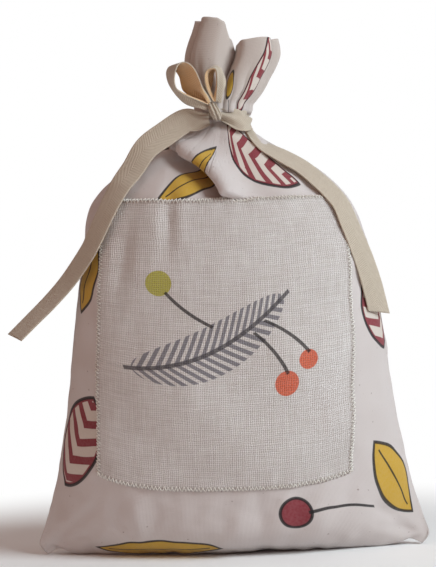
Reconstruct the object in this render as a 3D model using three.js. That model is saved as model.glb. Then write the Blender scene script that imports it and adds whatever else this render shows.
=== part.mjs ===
// A pine sachet: a small cotton bag of pine shavings, gathered at the neck and tied with a tape bow.
// Millimetres, +Z up, the front towards -Y. It stands on its own flattened base.
// Front and back panels are sewn at the sides and the bottom, with the seam allowances turned in.
import * as THREE from 'three';

// Cloth and tape as they are bought.
const cloth = { thickness: 0.5, allowance: 6, clearance: 0.3 };
const tape = { width: 10, thickness: 0.5 };

// The filled bag, from the bottom seam to the tie.
const bag = {
  halfWidth: 77.9,
  halfDepth: 31.5,
  shoulderHeight: 171,
  footCut: 0.5,
  pinchHeight: 18,
  seamLift: 2.4,
};

// The neck under the tape and the ruffle above it, with a deep valley between its two tufts.
const neck = { halfWidth: 8.2, halfDepth: 7.8, height: 4.2, gather: 0.8, gatherReach: 20 };
const ruffle = { spread: 15.4, swell: 3, height: 36.8, lobe: 1.4, rimWave: 0.5, valleyDepth: 7.5 };

// The hollow beside the patch's top edge and the lip that hangs over it.
const fold = {
  centreX: -6.5,
  centreZ: 151.5,
  slope: -0.85,
  length: 13,
  hollowDepth: 5,
  hollowWidth: 6,
  hollowOffset: 4.5,
  lipHeight: 2.4,
  lipWidth: 4.5,
  lipOffset: 5,
};

// The canvas patch on the front, and the loose filling.
const patch = { thickness: 0.6 };
const filling = { clearance: 0.3, give: 2.2 };

// The tape round the neck, the knot, and what comes out of the knot.
const tie = { height: 3.5, thickness: 1 };
const knot = { halfLength: 1.7, radius: 2.9, endRadius: 2.4, pleatDepth: 0.3, x: -3, lift: 0.5 };
const loops = { reach: 20 };

// Counts: the panels' columns and rows, the places where things begin on them, lobes, pleats and facets.
const columns = 28;
const patchFirstColumn = 4;
const patchColumns = 19;
const lowerRows = 6;
const patchRows = 9;
const shoulderRows = 6;
const ruffleRows = 7;
const sideSeamSkippedRows = 5;
const sideSeamOpenRows = 3;
const bottomSeamSkippedColumns = 4;
const clippedSteps = 3;
const lobeCount = 8;
const knotPleats = 7;
const knotSides = 28;
const wrapSides = 40;
const fillingSides = 32;
const loopSteps = 30;
const loopStride = 0.25 / loopSteps;
const tapeStepsPerPoint = 3;

// How the sections round off: how evenly the cloth is spaced round the turn, how much sharper the seam
// gets near the base, how fast a row rises to its seam, where the bottom seam lifts off the ground, where
// the ruffle's valley lies and how it opens upwards, how the allowances, shavings and wrap round off, how
// fast a tail settles onto the bag, and how deep beside the knot the left one starts.
const evenShare = 0.119;
const pinchShare = 0.7;
const leadPower = 3;
const liftShare = 0.8;
const liftWidthShare = 0.09;
const liftReachShare = 0.2;
const valleyShare = -0.1;
const valleyWidthShare = 0.2;
const valleyOpenShare = 1.6;
const valleyStartShare = 0.2;
const clippedShare = 0.2;
const bluntShare = 0.8;
const wrapBandShare = 0.7;
const settlePower = 6;
const tailLieShare = 0.57;

// How far the middle of a panel stands out, and how high: shares of the half depth and the shoulder height.
const middleShares = [
  [0, 0], [0.175, 0], [0.38, 0.002], [0.635, 0.02], [0.825, 0.062], [0.933, 0.132], [0.984, 0.225],
  [1, 0.327], [0.99, 0.439], [0.952, 0.55], [0.889, 0.652], [0.794, 0.749], [0.66, 0.836],
  [0.495, 0.907], [0.385, 0.97], [0.248, 1],
];
// Where the side seam runs on the same rows: shares of the half width and the shoulder height.
const seamShares = [
  [0.965, 0.004], [1, 0.029], [0.976, 0.067], [0.941, 0.117], [0.906, 0.173], [0.877, 0.243],
  [0.84, 0.333], [0.813, 0.433], [0.784, 0.543], [0.751, 0.646], [0.709, 0.737], [0.635, 0.818],
  [0.505, 0.884], [0.338, 0.931], [0.192, 0.97], [0.105, 1],
];
// The ruffle from the tie to its rim: how far it spreads to the left and to the right as shares of its
// spread, and how far it swells to the front and to the back as shares of its swell.
const ruffleShares = [
  [0, 0, 0, 0], [0.169, 0.273, 0.8, 0.7], [0.24, 0.455, 1, 0.95], [0.299, 0.584, 1, 1.05],
  [0.351, 0.688, 0.98, 1.05], [0.37, 0.805, 0.95, 1], [0.338, 0.909, 0.92, 0.95], [0.266, 0.987, 0.9, 0.9],
  [0.195, 1, 0.88, 0.88], [0.13, 0.974, 0.87, 0.87],
];
// The rim's height as a share of the ruffle's, by place from the left seam to the right seam.
const frontRimShares = [
  [-1, 0.983], [-0.8, 1], [-0.5, 0.983], [-0.36, 0.949], [-0.25, 0.771], [-0.12, 0.646], [0.04, 0.703],
  [0.2, 0.743], [0.6, 0.751], [1, 0.749],
];
const backRimShares = [[-1, 0.983], [-0.7, 0.857], [-0.3, 0.714], [0, 0.614], [0.4, 0.686], [1, 0.749]];
// The patch's bottom and top edges, as shares of the rows above.
const patchBottomShare = 5.3 / 15;
const patchTopShare = 11.73 / 15;
// The filling: half width, half depth and height, as shares of the bag's.
const fillingShares = [
  [0.5, 0.62, 0.03], [0.62, 0.77, 0.06], [0.69, 0.87, 0.11], [0.715, 0.95, 0.21], [0.72, 0.98, 0.33],
  [0.705, 0.97, 0.44], [0.68, 0.93, 0.55], [0.64, 0.865, 0.65], [0.58, 0.765, 0.75], [0.46, 0.63, 0.83],
  [0.31, 0.46, 0.88], [0.15, 0.31, 0.91],
];
// The strand behind the knot and round the neck's right side: its turn from the front in quarter turns,
// how far its middle lies below the tie and how far its lower edge stands out, as shares of its width,
// and its width as a share of the tape's.
const strandShares = [
  [-0.27, 0.06, 0, 0.42], [-0.1, 0.06, 0, 0.42], [0.08, 0.12, 0.1, 0.5], [0.25, 0.2, 0.2, 0.66],
  [0.4, 0.26, 0.3, 0.76], [0.54, 0.28, 0.33, 0.74], [0.68, 0.26, 0.33, 0.54],
];
// Routes of the tails: x, y and z as shares of the half width, half depth and shoulder height,
// the width as a share of the tape's, and the tilt of the tape about its own line, in quarter turns.
const leftTailShares = [
  [-0.067, -0.432, 0.998, 0.45, 0], [-0.128, -0.41, 0.996, 0.78, 0.01], [-0.19, -0.394, 0.997, 0.95, 0.03],
  [-0.293, -0.406, 0.968, 1, 0.08], [-0.388, -0.419, 0.937, 1, 0.17], [-0.457, -0.438, 0.891, 1, 0.28],
  [-0.525, -0.463, 0.851, 1, 0.39], [-0.594, -0.47, 0.796, 1, 0.47], [-0.659, -0.444, 0.737, 1, 0.5],
  [-0.701, -0.406, 0.7, 1, 0.52], [-0.809, -0.311, 0.633, 1, 0.53], [-0.891, -0.273, 0.589, 1, 0.48],
  [-0.988, -0.254, 0.551, 1, 0.36], [-1.085, -0.241, 0.515, 1, 0.22],
];
const rightTailShares = [
  [0.147, -0.063, 1, 0.6, 0.95], [0.203, -0.079, 0.972, 0.8, 0.9], [0.274, -0.095, 0.951, 0.95, 0.85],
  [0.353, -0.159, 0.932, 1, 0.78], [0.436, -0.238, 0.904, 1, 0.7], [0.52, -0.317, 0.864, 1, 0.63],
  [0.588, -0.375, 0.818, 1, 0.57], [0.652, -0.4, 0.76, 1, 0.5], [0.702, -0.39, 0.702, 1, 0.45],
  [0.742, -0.356, 0.64, 1, 0.4], [0.775, -0.308, 0.577, 1, 0.36],
];

// The loops' edges, near and far, from the knot round the loop and back: x, y and z from the knot's middle
// as shares of the loops' reach.
const leftLoopShares = [
  [-0.065, -0.047, 0.18, -0.095, 0.062, 0.19],
  [-0.12, -0.107, 0.295, -0.27, 0.117, 0.265],
  [-0.21, -0.168, 0.435, -0.475, 0.147, 0.345],
  [-0.275, -0.207, 0.605, -0.6, 0.158, 0.445],
  [-0.345, -0.228, 0.77, -0.64, 0.142, 0.575],
  [-0.44, -0.237, 0.895, -0.665, 0.142, 0.71],
  [-0.555, -0.247, 0.945, -0.735, 0.167, 0.835],
  [-0.66, -0.257, 0.915, -0.82, 0.188, 0.93],
  [-0.72, -0.268, 0.815, -0.89, 0.188, 0.89],
  [-0.755, -0.278, 0.68, -0.92, 0.178, 0.785],
  [-0.76, -0.278, 0.545, -0.895, 0.172, 0.635],
  [-0.715, -0.257, 0.42, -0.83, 0.172, 0.495],
  [-0.59, -0.218, 0.33, -0.71, 0.167, 0.325],
  [-0.41, -0.157, 0.25, -0.555, 0.147, 0.18],
  [-0.24, -0.103, 0.18, -0.34, 0.113, 0.1],
  [-0.115, -0.057, 0.13, -0.135, 0.062, 0.065],
];
const rightLoopShares = [
  [-0.015, -0.053, 0.18, -0.025, 0.053, 0.18],
  [-0.075, -0.072, 0.285, -0.11, 0.072, 0.305],
  [-0.14, -0.103, 0.42, -0.11, 0.117, 0.47],
  [-0.175, -0.143, 0.575, -0.04, 0.153, 0.62],
  [-0.17, -0.182, 0.72, -0.01, 0.163, 0.76],
  [-0.11, -0.212, 0.8, 0.045, 0.163, 0.845],
  [-0.025, -0.228, 0.825, 0.115, 0.158, 0.865],
  [0.05, -0.218, 0.8, 0.185, 0.147, 0.77],
  [0.07, -0.197, 0.665, 0.23, 0.138, 0.615],
  [0.07, -0.157, 0.495, 0.21, 0.122, 0.48],
  [0.055, -0.118, 0.335, 0.135, 0.103, 0.34],
  [0.04, -0.057, 0.185, 0.055, 0.053, 0.19],
];

// The knot's swelling along its length: place and radius.
const knotShares = [[-1, 0.82], [-0.8, 1], [-0.35, 1.06], [0.35, 1.06], [0.8, 1], [1, 0.82]];

const middleLine = splineOf(middleShares, bag.halfDepth, bag.shoulderHeight);
const seamLine = splineOf(seamShares, bag.halfWidth, bag.shoulderHeight);
const spreadLine = splineOf(ruffleShares.map(([left, right]) => [left, right]), ruffle.spread, ruffle.spread);
const swellLine = splineOf(ruffleShares.map(([, , front, back]) => [front, back]), ruffle.swell, ruffle.swell);
const halfSeam = (cloth.clearance + cloth.thickness) / 2;
const tieHeight = bag.shoulderHeight + neck.height / 2;

const sachet = new THREE.Group();
const frontGrid = panelGrid(-1);
const backGrid = panelGrid(1);
const cotton = { color: 0xd8cec6, roughness: 0.9, metalness: 0 };
const canvas = { color: 0xd6c8b8, roughness: 0.95, metalness: 0 };
const twill = { color: 0xd6c7ab, roughness: 0.85, metalness: 0 };
const pine = { color: 0xd9b98a, roughness: 0.9, metalness: 0 };

addPiece('front_panel', panel(frontGrid, -1), cotton);
addPiece('back_panel', panel(backGrid, 1), cotton);
addPiece('patch', patchOn(frontGrid), canvas);
addPiece('pine_shavings', shavings(), pine);
addPiece('tape_neck_wrap', neckWrap(), twill);
addPiece('tape_knot', knotBarrel(), twill);
addPiece('tape_strand', strandBand(), twill);
addPiece('tape_loop_left', loop(leftLoopShares), twill);
addPiece('tape_loop_right', loop(rightLoopShares), twill);
addPiece('tape_tail_left', tapeAlong(leftTailShares, leftTailStart()), twill);
addPiece('tape_tail_right', tapeAlong(rightTailShares), twill);

// The origin is the middle of the base of the box round it all.
const box = new THREE.Box3().setFromObject(sachet);
sachet.position.set(-(box.min.x + box.max.x) / 2, -(box.min.y + box.max.y) / 2, -box.min.z);

function addPiece(name, geometry, finish) {
  const mesh = new THREE.Mesh(geometry, new THREE.MeshStandardMaterial(finish));
  mesh.name = name;
  sachet.add(mesh);
}

function splineOf(shares, out, up) {
  return new THREE.SplineCurve(shares.map(([o, u]) => new THREE.Vector2(o * out, u * up)));
}

function mix(a, b, share) {
  return a + (b - a) * share;
}

function smooth(share) {
  const s = Math.min(Math.max(share, 0), 1);
  return s * s * (3 - 2 * s);
}

// A panel's own coordinates: across is -1 to 1 from seam to seam, rise is 0 to 1 from the bottom to the tie.
// Equal steps across are nearly equal lengths of cloth round the flattened section.
function turnAt(across) {
  return across * Math.PI / 2 - evenShare * Math.sin(across * Math.PI);
}

function lobeAt(turn) {
  return -Math.cos(lobeCount * turn);
}

// The hollow and its lip run downhill to the right, just above the patch.
function foldAt(x, z) {
  const line = Math.hypot(1, fold.slope);
  const along = ((x - fold.centreX) + (z - fold.centreZ) * fold.slope) / line;
  const over = ((z - fold.centreZ) - (x - fold.centreX) * fold.slope) / line;
  const reach = Math.exp(-((along / fold.length) ** 2));
  const lip = fold.lipHeight * Math.exp(-(((over - fold.lipOffset) / fold.lipWidth) ** 2));
  const hollow = fold.hollowDepth * Math.exp(-(((over + fold.hollowOffset) / fold.hollowWidth) ** 2));
  return reach * (lip - hollow);
}

function bagPoint(across, rise, face) {
  const middle = middleLine.getPoint(rise);
  const seam = seamLine.getPoint(rise);
  const turn = turnAt(across);
  const side = Math.abs(across);
  const low = Math.exp(-middle.y / bag.pinchHeight);
  const depth = Math.max(Math.cos(turn), 0) ** (1 + pinchShare * low);
  const height = mix(middle.y, seam.y, side ** (leadPower + low));
  const lift = bag.seamLift * Math.exp(-(((side - liftShare) / liftWidthShare) ** 2))
    * (1 - smooth(rise / liftReachShare));
  const gather = neck.gather * smooth(1 - (bag.shoulderHeight - height) / neck.gatherReach);
  const bulge = gather * lobeAt(turn) + (face < 0 ? foldAt(seam.x * Math.sin(turn), height) : 0);
  return new THREE.Vector3(
    (seam.x + bulge) * Math.sin(turn),
    face * (halfSeam + middle.x * depth + bulge * Math.max(Math.cos(turn), 0)),
    Math.max(height + lift - bag.footCut, 0) + cloth.thickness / 2,
  );
}

// Above the tie the cloth opens again in two tufts, the left one taller and the right one wider.
function rufflePoint(across, climb, face) {
  const turn = turnAt(across);
  const place = Math.sin(turn);
  const { x: left, y: right } = spreadLine.getPoint(climb);
  const { x: front, y: back } = swellLine.getPoint(climb);
  const valley = Math.exp(-(((place - valleyShare) / valleyWidthShare) ** 2))
    * smooth(climb * valleyOpenShare - valleyStartShare);
  const lobe = mix(neck.gather, ruffle.lobe, smooth(climb)) * lobeAt(turn)
    - (face < 0 ? ruffle.valleyDepth * valley : 0);
  const rimShare = easedAt(face < 0 ? frontRimShares : backRimShares, place);
  const rim = ruffle.height * rimShare + ruffle.rimWave * lobeAt(turn);
  return new THREE.Vector3(
    (right - left) / 2 + (neck.halfWidth + (left + right) / 2 + lobe) * place,
    face * (halfSeam + (neck.halfDepth + (face < 0 ? front : back) + lobe) * Math.max(Math.cos(turn), 0)),
    bag.shoulderHeight + neck.height - bag.footCut + cloth.thickness / 2 + climb * rim,
  );
}

// The value between the points of a table, level at each point.
function easedAt(table, place) {
  const k = Math.max(table.findLastIndex(([at]) => at <= place), 0);
  const [from, start] = table[Math.min(k, table.length - 2)];
  const [to, end] = table[Math.min(k, table.length - 2) + 1];
  return mix(start, end, smooth((place - from) / (to - from)));
}

function steps(from, to, count) {
  return Array.from({ length: count }, (_, i) => mix(from, to, i / count));
}

// Rows of points up a panel, with an outward direction at each.
function panelGrid(face) {
  const rises = [
    ...steps(0, patchBottomShare, lowerRows),
    ...steps(patchBottomShare, patchTopShare, patchRows),
    ...steps(patchTopShare, 1, shoulderRows),
    1,
  ];
  const climbs = [...steps(0, 1, ruffleRows), 1];
  const rows = [
    ...rises.map((rise) => rowOf((across) => bagPoint(across, rise, face))),
    ...climbs.map((climb) => rowOf((across) => rufflePoint(across, climb, face))),
  ];
  return { rows, outward: outwardOf(rows, face), bagRows: rises.length };
}

function rowOf(pointAt) {
  return Array.from({ length: columns + 1 }, (_, i) => pointAt(2 * i / columns - 1));
}

function outwardOf(rows, face) {
  const at = (j, i) => rows[Math.min(Math.max(j, 0), rows.length - 1)][Math.min(Math.max(i, 0), columns)];
  return rows.map((row, j) => row.map((_, i) => {
    const right = at(j, i + 1).clone().sub(at(j, i - 1));
    const up = at(j + 1, i).clone().sub(at(j - 1, i));
    return right.cross(up).multiplyScalar(-face).normalize();
  }));
}

// A closed solid between two sheets of matching points, walled along the sheet's free edges.
function solidBetween(inner, outer, triangles) {
  const count = inner.length;
  const faces = [];
  const edges = new Map();
  for (const [a, b, c] of triangles) {
    faces.push(a + count, b + count, c + count, c, b, a);
    for (const [from, to] of [[a, b], [b, c], [c, a]]) {
      const back = `${to} ${from}`;
      if (edges.has(back)) {
        edges.delete(back);
      } else {
        edges.set(`${from} ${to}`, [from, to]);
      }
    }
  }
  for (const [from, to] of edges.values()) {
    faces.push(from, to, to + count, from, to + count, from + count);
  }
  return meshOf([...inner, ...outer], faces);
}

function meshOf(points, faces) {
  const geometry = new THREE.BufferGeometry();
  geometry.setAttribute('position', new THREE.Float32BufferAttribute(points.flatMap((p) => p.toArray()), 3));
  geometry.setIndex(faces);
  geometry.computeVertexNormals();
  return geometry;
}

// Two triangles for each cell of a grid, turned so that they face the given way.
function cellTriangles(a, b, c, d, face) {
  return face < 0 ? [[a, b, c], [a, c, d]] : [[a, c, b], [a, d, c]];
}

// One panel with its seam allowances turned in along the sides and the bottom, clipped at the corners.
function panel(grid, face) {
  const width = columns + 1;
  const points = grid.rows.flat();
  const triangles = [];
  for (let j = 0; j < grid.rows.length - 1; j += 1) {
    for (let i = 0; i < columns; i += 1) {
      const a = j * width + i;
      triangles.push(...cellTriangles(a, a + 1, a + 1 + width, a + width, face));
    }
  }
  const inward = [];
  const turnIn = (path, shiftOf, flip) => {
    const first = points.length;
    path.forEach((index, k) => {
      const taper = smooth(Math.min(k, path.length - 1 - k) / clippedSteps + clippedShare);
      points.push(points[index].clone().add(shiftOf(cloth.allowance * taper)));
      inward.push(points.length - 1);
    });
    for (let k = 0; k < path.length - 1; k += 1) {
      const quad = [path[k], path[k + 1], first + k + 1, first + k];
      triangles.push(...cellTriangles(...quad, flip ? -face : face));
    }
  };
  const sideCount = grid.bagRows - sideSeamSkippedRows - sideSeamOpenRows;
  const sideRows = Array.from({ length: sideCount }, (_, k) => k + sideSeamSkippedRows);
  turnIn(sideRows.map((j) => j * width), (d) => new THREE.Vector3(d, 0, 0), false);
  turnIn(sideRows.map((j) => j * width + columns), (d) => new THREE.Vector3(-d, 0, 0), true);
  const bottomCount = columns + 1 - 2 * bottomSeamSkippedColumns;
  const bottom = Array.from({ length: bottomCount }, (_, i) => i + bottomSeamSkippedColumns);
  turnIn(bottom, (d) => new THREE.Vector3(0, 0, d / 2), true);

  const outward = points.map(() => new THREE.Vector3());
  const edgeA = new THREE.Vector3();
  const edgeB = new THREE.Vector3();
  for (const [a, b, c] of triangles) {
    edgeA.subVectors(points[b], points[a]);
    edgeB.subVectors(points[c], points[a]).cross(edgeA).negate();
    for (const corner of [a, b, c]) {
      outward[corner].add(edgeB);
    }
  }
  outward.forEach((direction) => direction.normalize());
  const half = cloth.thickness / 2;
  const inner = points.map((p, k) => p.clone().addScaledVector(outward[k], -half));
  const outer = points.map((p, k) => p.clone().addScaledVector(outward[k], half));
  return solidBetween(inner, outer, triangles);
}

// The patch follows the front panel's own facets, a clearance in front of them.
function patchOn(grid) {
  const inner = [];
  const outer = [];
  const near = cloth.thickness / 2 + cloth.clearance;
  for (let j = lowerRows; j <= lowerRows + patchRows; j += 1) {
    for (let i = patchFirstColumn; i <= patchFirstColumn + patchColumns; i += 1) {
      inner.push(grid.rows[j][i].clone().addScaledVector(grid.outward[j][i], near));
      outer.push(grid.rows[j][i].clone().addScaledVector(grid.outward[j][i], near + patch.thickness));
    }
  }
  const width = patchColumns + 1;
  const triangles = [];
  for (let j = 0; j < patchRows; j += 1) {
    for (let i = 0; i < patchColumns; i += 1) {
      const a = j * width + i;
      triangles.push(...cellTriangles(a, a + 1, a + 1 + width, a + width, -1));
    }
  }
  return solidBetween(inner, outer, triangles);
}

// The shavings settle into one soft lump, which gives way under the hollow in the front.
function shavings() {
  const around = fillingSides;
  const rings = fillingShares.map(([wide, deep, high]) => Array.from({ length: around }, (_, k) => {
    const turn = 2 * Math.PI * k / around;
    const blunt = Math.sign(Math.cos(turn)) * Math.abs(Math.cos(turn)) ** bluntShare;
    const x = wide * bag.halfWidth * Math.sin(turn);
    const z = high * bag.shoulderHeight;
    const give = filling.give * Math.min(foldAt(x, z), 0) * Math.max(Math.cos(turn), 0);
    return new THREE.Vector3(x, -(deep * bag.halfDepth - filling.clearance) * blunt - give, z);
  }));
  return capped(rings);
}

// A closed solid through rings of matching points, from the lowest ring to the highest.
function capped(rings) {
  const around = rings[0].length;
  const middleOf = (ring) => ring.reduce((sum, p) => sum.add(p), new THREE.Vector3()).divideScalar(around);
  const points = [...rings.flat(), middleOf(rings[0]), middleOf(rings.at(-1))];
  const low = points.length - 2;
  const top = (rings.length - 1) * around;
  const faces = [];
  for (let k = 0; k < around; k += 1) {
    const next = (k + 1) % around;
    for (let j = 0; j < rings.length - 1; j += 1) {
      const a = j * around;
      faces.push(a + k, a + next, a + around + next, a + k, a + around + next, a + around + k);
    }
    faces.push(low, next, k, low + 1, top + k, top + next);
  }
  return meshOf(points, faces);
}

// The tape goes round the gathered neck, crushed to about half its width.
function neckWrap() {
  const inside = wrapInside();
  const outside = inside + tie.thickness;
  const half = tie.height / 2;
  const section = [
    new THREE.Vector2(inside, -half),
    new THREE.Vector2(outside, -half * wrapBandShare),
    new THREE.Vector2(outside + tie.thickness / 4, 0),
    new THREE.Vector2(outside, half * wrapBandShare),
    new THREE.Vector2(inside, half),
    new THREE.Vector2(inside, -half),
  ];
  const ring = new THREE.LatheGeometry(section, wrapSides);
  ring.rotateX(Math.PI / 2);
  ring.translate(0, 0, tieHeight);
  return ring;
}

function wrapInside() {
  return neck.halfWidth + neck.gather + cloth.thickness / 2 + cloth.clearance * 1.5;
}

// How far from the bag's axis the strand lies over the tape round the neck.
function strandDepth() {
  return wrapInside() + tie.thickness * 1.25 + 2 * cloth.clearance + tape.thickness / 2;
}

// The knot lies over the strand.
function knotCentre() {
  const standOut = strandDepth() + tape.thickness / 2 + cloth.clearance + knot.radius;
  return new THREE.Vector3(knot.x, -standOut, tieHeight + knot.lift);
}

// The strand over the bow's crossing: a short barrel, pleated along its length.
function knotBarrel() {
  const around = knotSides;
  const centre = knotCentre();
  const rings = knotShares.map(([along, swellShare]) => Array.from({ length: around }, (_, k) => {
    const turn = 2 * Math.PI * k / around;
    const base = mix(knot.radius, knot.endRadius, along * along);
    const radius = base * swellShare + knot.pleatDepth * (Math.cos(knotPleats * turn) - 1) / 2;
    return new THREE.Vector3(
      centre.x + along * knot.halfLength,
      centre.y + radius * Math.cos(turn),
      centre.z + radius * Math.sin(turn),
    );
  }));
  return capped(rings);
}

// A band of tape through stations: its middle, the direction across it and its width there.
function band(stations) {
  const rings = stations.map(({ middle, across, out, width }) => {
    const side = across.clone().multiplyScalar(width / 2);
    const face = out.clone().multiplyScalar(tape.thickness / 2);
    return [
      middle.clone().sub(side).sub(face),
      middle.clone().add(side).sub(face),
      middle.clone().add(side).add(face),
      middle.clone().sub(side).add(face),
    ];
  });
  return capped(rings);
}

// A loop of the bow between its two edges, crushed where it leaves the knot and where it comes back.
function loop(shares) {
  const centre = knotCentre();
  const placeOf = (parts) => centre.clone().add(new THREE.Vector3(...parts).multiplyScalar(loops.reach));
  const near = new THREE.CatmullRomCurve3(shares.map((row) => placeOf(row.slice(0, 3))));
  const far = new THREE.CatmullRomCurve3(shares.map((row) => placeOf(row.slice(3))));
  const middleAt = (t) => near.getPoint(t).add(far.getPoint(t)).multiplyScalar(0.5);
  const stations = Array.from({ length: loopSteps + 1 }, (_, k) => {
    const t = k / loopSteps;
    const along = middleAt(Math.min(t + loopStride, 1)).sub(middleAt(Math.max(t - loopStride, 0)));
    const across = far.getPoint(t).sub(near.getPoint(t));
    const width = across.length();
    return {
      middle: middleAt(t),
      across: across.normalize(),
      out: across.clone().cross(along).normalize().negate(),
      width,
    };
  });
  return band(stations);
}

// The strand lies round the front and the right of the neck, and spreads out below the ruffle.
function strandBand() {
  return band(strandShares.map(([turnShare, dropShare, leanShare, wideShare]) => {
    const turn = turnShare * Math.PI / 2;
    const width = wideShare * tape.width;
    const outward = new THREE.Vector3(Math.sin(turn), -Math.cos(turn), 0);
    const upright = Math.sqrt(1 - leanShare ** 2);
    const middle = outward.clone().multiplyScalar(strandDepth() + leanShare * width / 2);
    return {
      middle: middle.setZ(tieHeight - dropShare * width),
      across: outward.clone().multiplyScalar(-leanShare).setZ(upright),
      out: outward.clone().multiplyScalar(upright).setZ(leanShare),
      width,
    };
  }));
}

// The left tail comes out at the knot's left end.
function leftTailStart() {
  const [, , upShare] = leftTailShares[0];
  const start = knotCentre();
  start.x -= knot.halfLength + cloth.clearance * 1.6;
  start.y += knot.radius * tailLieShare;
  return start.setZ(upShare * bag.shoulderHeight);
}

// A tail through the points of its route. It may be given another start, from which it settles onto the bag.
function tapeAlong(shares, start) {
  const scaleUp = new THREE.Vector3(bag.halfWidth, bag.halfDepth, bag.shoulderHeight);
  const points = shares.map(([x, y, z]) => new THREE.Vector3(x, y, z).multiply(scaleUp));
  const shift = start ? start.clone().sub(points[0]) : new THREE.Vector3();
  const route = new THREE.CatmullRomCurve3(points.map((point, k) => (
    point.addScaledVector(shift, (1 - k / (points.length - 1)) ** settlePower)
  )));
  const widths = new THREE.SplineCurve(shares.map(([, , , wide, tilt]) => new THREE.Vector2(wide, tilt)));
  const side = -Math.sign(shares.at(-1)[0]);
  const count = (shares.length - 1) * tapeStepsPerPoint;
  const stations = Array.from({ length: count + 1 }, (_, k) => {
    const t = k / count;
    const along = route.getTangent(t);
    const { x: wide, y: tilt } = widths.getPoint(t);
    const across = new THREE.Vector3(0, -1, 0).cross(along).normalize();
    across.applyAxisAngle(along, side * tilt * Math.PI / 2);
    const out = along.clone().cross(across).normalize();
    return { middle: route.getPoint(t), across, out, width: wide * tape.width };
  });
  return band(stations);
}

export default sachet;
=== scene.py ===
import math

import bpy
import numpy as np
from mathutils import Matrix, Vector


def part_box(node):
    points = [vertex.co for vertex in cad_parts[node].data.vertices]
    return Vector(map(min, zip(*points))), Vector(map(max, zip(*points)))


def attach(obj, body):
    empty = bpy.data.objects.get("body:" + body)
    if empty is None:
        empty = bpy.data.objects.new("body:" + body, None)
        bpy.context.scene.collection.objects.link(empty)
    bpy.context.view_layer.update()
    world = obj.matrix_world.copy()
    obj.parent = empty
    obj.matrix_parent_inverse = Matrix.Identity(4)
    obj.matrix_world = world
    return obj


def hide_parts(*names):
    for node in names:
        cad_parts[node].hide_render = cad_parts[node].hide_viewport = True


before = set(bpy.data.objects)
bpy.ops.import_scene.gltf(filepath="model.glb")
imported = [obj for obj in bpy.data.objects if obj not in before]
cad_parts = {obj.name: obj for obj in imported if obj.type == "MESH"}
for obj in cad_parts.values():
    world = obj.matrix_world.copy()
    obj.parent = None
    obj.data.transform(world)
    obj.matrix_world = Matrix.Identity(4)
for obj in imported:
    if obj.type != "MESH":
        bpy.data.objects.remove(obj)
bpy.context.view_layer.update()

# The bag: a front and a back panel of printed cotton, sewn at the sides and the bottom with the seam
# allowances turned in, filled with shavings until it stands, and gathered at the neck into a ruffle.
# All sizes are millimetres from the bag's own axis, with z up from the ground.
MM = 0.001
FRONT = -1
BACK = 1
panel_low, panel_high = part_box("front_panel")
AXIS = np.array([(panel_low.x + panel_high.x) / 2, (panel_high.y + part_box("back_panel")[0].y) / 2, 0])
HALF_WIDTH = (panel_high.x - panel_low.x) / 2 / MM
HALF_DEPTH = 31.5
SHOULDER = 171
CLOTH = 0.5
SEAM_GAP = 0.3
NECK_TOP = 175.2
FLAT_PANEL = (160, 245)
# How far the middle of a panel stands out, and how high, from the bottom seam to the tie.
MIDDLE_SHARES = [
    (0, 0), (0.175, 0.002), (0.38, 0.011), (0.635, 0.032), (0.825, 0.068), (0.933, 0.134), (0.984, 0.225),
    (1, 0.327), (0.99, 0.439), (0.952, 0.55), (0.889, 0.652), (0.794, 0.749), (0.66, 0.836),
    (0.495, 0.907), (0.385, 0.97), (0.248, 1),
]
# Where the side seam runs on the same rows.
SEAM_SHARES = [
    (0.965, 0.004), (1, 0.029), (0.976, 0.067), (0.941, 0.117), (0.906, 0.173), (0.877, 0.243),
    (0.84, 0.333), (0.813, 0.433), (0.784, 0.543), (0.751, 0.646), (0.709, 0.737), (0.635, 0.818),
    (0.505, 0.884), (0.338, 0.931), (0.192, 0.97), (0.105, 1),
]
# The ruffle from the tie to its rim: how far it reaches left and right, and to the front and the back.
RUFFLE_LEFT = [8.2, 10.8, 11.9, 12.8, 13.6, 13.7, 13, 11.6, 10, 8.8]
RUFFLE_RIGHT = [8.2, 12.4, 15.2, 17.2, 18.8, 20.6, 22.1, 23.1, 23, 22.4]
RUFFLE_FRONT = [7.8, 10.4, 10.8, 10.8, 10.7, 10.7, 10.6, 10.5, 10.4, 10.4]
RUFFLE_BACK = [7.8, 10, 10.8, 11, 11, 10.8, 10.6, 10.5, 10.4, 10.4]
# The rim's height over the tie, by place from the left seam to the right seam.
FRONT_RIM = [(-1, 36.2), (-0.8, 36.8), (-0.5, 36.2), (-0.36, 35), (-0.25, 28.4), (-0.14, 24), (0, 26.4),
             (0.16, 27.6), (0.6, 28), (1, 28)]
BACK_RIM = [(-1, 36.2), (-0.7, 31.8), (-0.3, 26.4), (0, 22.8), (0.4, 25.4), (1, 28)]
# The fold over the patch: the line of its crease, in x and z, and what it does on either side.
FOLD_LINE = [(-27, 163), (-19, 162), (-12, 159), (-7, 155.5), (-2.5, 151), (1, 146), (3, 141), (4, 136)]
FOLD_LAP = 6.2
FOLD_HOLLOW = 10.0
FOLD_LIP = 4.8
# How the shoulders differ from the even shape: the height, the reach up and down, and how far out.
LEFT_SHOULDER = (142, 14, 4.2)
LEFT_COLLAR = (166, 6, 2.6)
RIGHT_SHOULDER = (160, 15, -2.1)
# The patch's left and right edges on the bag, from its bottom to its top, and its bottom and top edges.
PATCH_LEFT = [-0.635, -0.677, -0.702, -0.738, -0.84]
PATCH_RIGHT = [0.562, 0.605, 0.66, 0.71, 0.79]
PATCH_RISE = (0.356, 0.781)
PATCH_BOW = (0.008, -0.02)
# How much the turn round the bag is held back, so that even steps on the cloth stay even.
TURN_EASE = 0.119


def smooth(share):
    s = np.clip(share, 0, 1)
    return s * s * (3 - 2 * s)


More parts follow.
